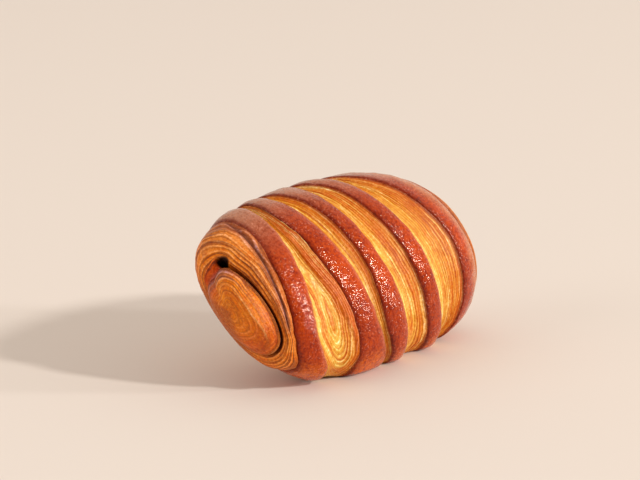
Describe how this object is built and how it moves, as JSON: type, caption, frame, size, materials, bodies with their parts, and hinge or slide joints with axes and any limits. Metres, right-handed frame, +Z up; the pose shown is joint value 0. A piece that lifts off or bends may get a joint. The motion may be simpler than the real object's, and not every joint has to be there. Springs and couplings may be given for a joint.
{
  "type": "pain au chocolat",
  "caption": "Baked pain au chocolat: a plump laminated roll with glazed dark strips, open amber layers between them and a spiral end with a chocolate baton in it.",
  "frame": {"origin": "middle of the bounding box in X and Y, on the surface that the pastry rests on", "axes": "+Z up, X along the roll with the open spiral end at -X, the scored front faces -Y"},
  "size_m": [0.1314, 0.0604, 0.0666],
  "materials": {
    "crust": "glossy egg-washed strips over semi-matte amber layers",
    "chocolate": "satin dark chocolate"
  },
  "bodies": {
    "root": {"pastry": "crust", "chocolate_baton": "chocolate"}
  },
  "joints": []
}
